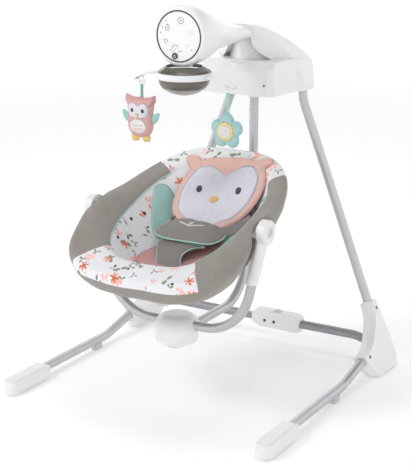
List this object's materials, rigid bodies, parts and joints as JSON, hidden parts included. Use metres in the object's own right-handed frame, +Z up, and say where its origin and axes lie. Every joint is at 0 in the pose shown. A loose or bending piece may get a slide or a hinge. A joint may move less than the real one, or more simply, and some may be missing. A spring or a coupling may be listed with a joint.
{
  "type": "baby swing",
  "caption": "Free-standing baby swing: folding tube frame, arched drive housing with control head and mobile, and a reclining, swivelling fabric seat on a hanging arm.",
  "frame": {"origin": "on the floor, under the middle of the footprint", "axes": "+Z up, +Y to the rear, so that the seat and the control panel face -Y, and +X to the right as seen from the front"},
  "size_m": [0.8456, 0.8, 1.0376],
  "materials": {
    "white_plastic": "satin white moulded plastic",
    "panel_white": "glossy white printed panel",
    "silver_tube": "light silver-grey powder coat on steel tube",
    "grey_bar": "mid-grey powder coat on steel tube",
    "pad_rubber": "light grey rubber",
    "steel": "zinc-plated steel",
    "dark_trim": "dark grey trim",
    "smoky_plastic": "smoky translucent plastic",
    "clear_plastic": "clear moulded plastic",
    "foil": "crumpled reflector foil",
    "board_green": "circuit board",
    "speaker_black": "speaker",
    "coil_copper": "wound copper coil",
    "cell_grey": "large round cells",
    "grey_plush": "short-pile grey plush",
    "floral_cotton": "white cotton with a small flower print",
    "owl_plush": "coral pink plush with a pale face",
    "strap_grey": "grey padded webbing with mint piping",
    "mint_cotton": "light teal fabric"
  },
  "bodies": {
    "housing": {"housing_front_shell": "white_plastic", "housing_rear_shell": "white_plastic", "battery_door": "white_plastic", "battery_cells": "cell_grey", "dc_jack": "dark_trim", "shaft_bearings": "steel", "side_pivot_pins": "steel", "housing_screws": "steel", "drive_coil": "coil_copper", "head_shell": "white_plastic", "head_bezel": "white_plastic", "panel_ring": "dark_trim", "control_panel": "panel_white", "circuit_board": "board_green", "speaker": "speaker_black", "mobile_socket": "smoky_plastic"},
    "control_button": {"control_button": "dark_trim"},
    "right_side": {"upright_tube_right": "silver_tube", "leg_tube_right": "silver_tube", "hub_outer_shell_right": "white_plastic", "hub_inner_shell_right": "white_plastic", "foot_cap_right": "white_plastic", "floor_pads_right": "pad_rubber", "hub_fasteners_right": "steel"},
    "left_side": {"upright_tube_left": "silver_tube", "leg_tube_left": "silver_tube", "hub_outer_shell_left": "white_plastic", "hub_inner_shell_left": "white_plastic", "foot_cap_left": "white_plastic", "floor_pads_left": "pad_rubber", "hub_fasteners_left": "steel"},
    "right_bar": {"bar_tube_right": "grey_bar", "fold_hinge_front": "white_plastic", "fold_hinge_rear": "white_plastic", "fold_pins": "steel"},
    "fold_button": {"fold_button": "white_plastic"},
    "left_bar": {"bar_tube_left": "grey_bar"},
    "swing_arm": {"pivot_shaft": "steel", "swing_arm_tube": "silver_tube", "arm_collar": "white_plastic", "arm_magnet": "steel", "swivel_base": "white_plastic"},
    "swivel_knob": {"swivel_knob": "white_plastic"},
    "yoke": {"swivel_dome": "white_plastic", "yoke_tube": "silver_tube", "yoke_sleeves": "white_plastic"},
    "recline_button_right": {"recline_button_right": "white_plastic"},
    "recline_button_left": {"recline_button_left": "white_plastic"},
    "seat": {"seat_pod": "grey_plush", "seat_liner": "floral_cotton", "body_support": "owl_plush", "waist_belt": "strap_grey", "crotch_pad": "strap_grey", "seat_hubs": "white_plastic"},
    "mobile": {"mobile_ring": "white_plastic", "globe_band": "smoky_plastic", "globe_dome": "clear_plastic", "reflector": "foil"},
    "owl_toy": {"owl_toy": "owl_plush"},
    "flower_toy": {"flower_toy": "mint_cotton"}
  },
  "joints": [
    {"name": "right_fold", "type": "hinge", "parent": "housing", "child": "right_side", "pos_m": [0.114, 0.336, 0.797], "axis": [0, 1, 0], "range_deg": [0, 5.57]},
    {"name": "left_fold", "type": "hinge", "parent": "housing", "child": "left_side", "pos_m": [-0.114, 0.336, 0.797], "axis": [0, -1, 0], "range_deg": [0, 5.57]},
    {"name": "right_bar_fold", "type": "hinge", "parent": "right_side", "child": "right_bar", "pos_m": [0.34, 0.336, 0.062], "axis": [0, 1, 0], "range_deg": [0, 32.7]},
    {"name": "left_bar_fold", "type": "hinge", "parent": "left_side", "child": "left_bar", "pos_m": [-0.34, 0.336, 0.062], "axis": [0, -1, 0], "range_deg": [0, 29.13]},
    {"name": "fold_press", "type": "slide", "parent": "right_bar", "child": "fold_button", "axis": [0, 0, -1], "range_m": [0, 0.003], "stiffness_N_per_m": 900},
    {"name": "swing", "type": "hinge", "parent": "housing", "child": "swing_arm", "pos_m": [0, 0.261, 0.85], "axis": [0, 1, 0], "range_deg": [-15, 15]},
    {"name": "knob_press", "type": "slide", "parent": "swing_arm", "child": "swivel_knob", "axis": [0, 0, 1], "range_m": [0, 0.004], "stiffness_N_per_m": 900},
    {"name": "swivel", "type": "hinge", "parent": "swing_arm", "child": "yoke", "pos_m": [0, -0.155, 0.19], "axis": [0, 0, 1], "range_deg": [-90, 90]},
    {"name": "recline_press_right", "type": "slide", "parent": "yoke", "child": "recline_button_right", "axis": [-1, 0, 0], "range_m": [0, 0.004], "stiffness_N_per_m": 900},
    {"name": "recline_press_left", "type": "slide", "parent": "yoke", "child": "recline_button_left", "axis": [1, 0, 0], "range_m": [0, 0.004], "stiffness_N_per_m": 900},
    {"name": "recline", "type": "hinge", "parent": "yoke", "child": "seat", "pos_m": [0, -0.155, 0.49], "axis": [1, 0, 0], "range_deg": [0, 12]},
    {"name": "control_press", "type": "slide", "parent": "housing", "child": "control_button", "axis": [0, 1, 0], "range_m": [0, 0.0015], "stiffness_N_per_m": 500},
    {"name": "mobile_spin", "type": "hinge", "parent": "housing", "child": "mobile", "pos_m": [0, -0.118, 0.88], "axis": [0, 0, 1], "continuous": true},
    {"name": "owl_hang", "type": "hinge", "parent": "mobile", "child": "owl_toy", "pos_m": [-0.128, -0.118, 0.832], "axis": [1, 0, 0], "range_deg": [-30, 30]},
    {"name": "flower_hang", "type": "hinge", "parent": "mobile", "child": "flower_toy", "pos_m": [0.128, -0.118, 0.832], "axis": [1, 0, 0], "range_deg": [-30, 30]}
  ],
  "couplings": [
    {"joint": "left_fold", "follows": "right_fold", "ratio": 1},
    {"joint": "right_bar_fold", "follows": "right_fold", "ratio": 5.8697},
    {"joint": "left_bar_fold", "follows": "right_fold", "ratio": 5.2297}
  ]
}
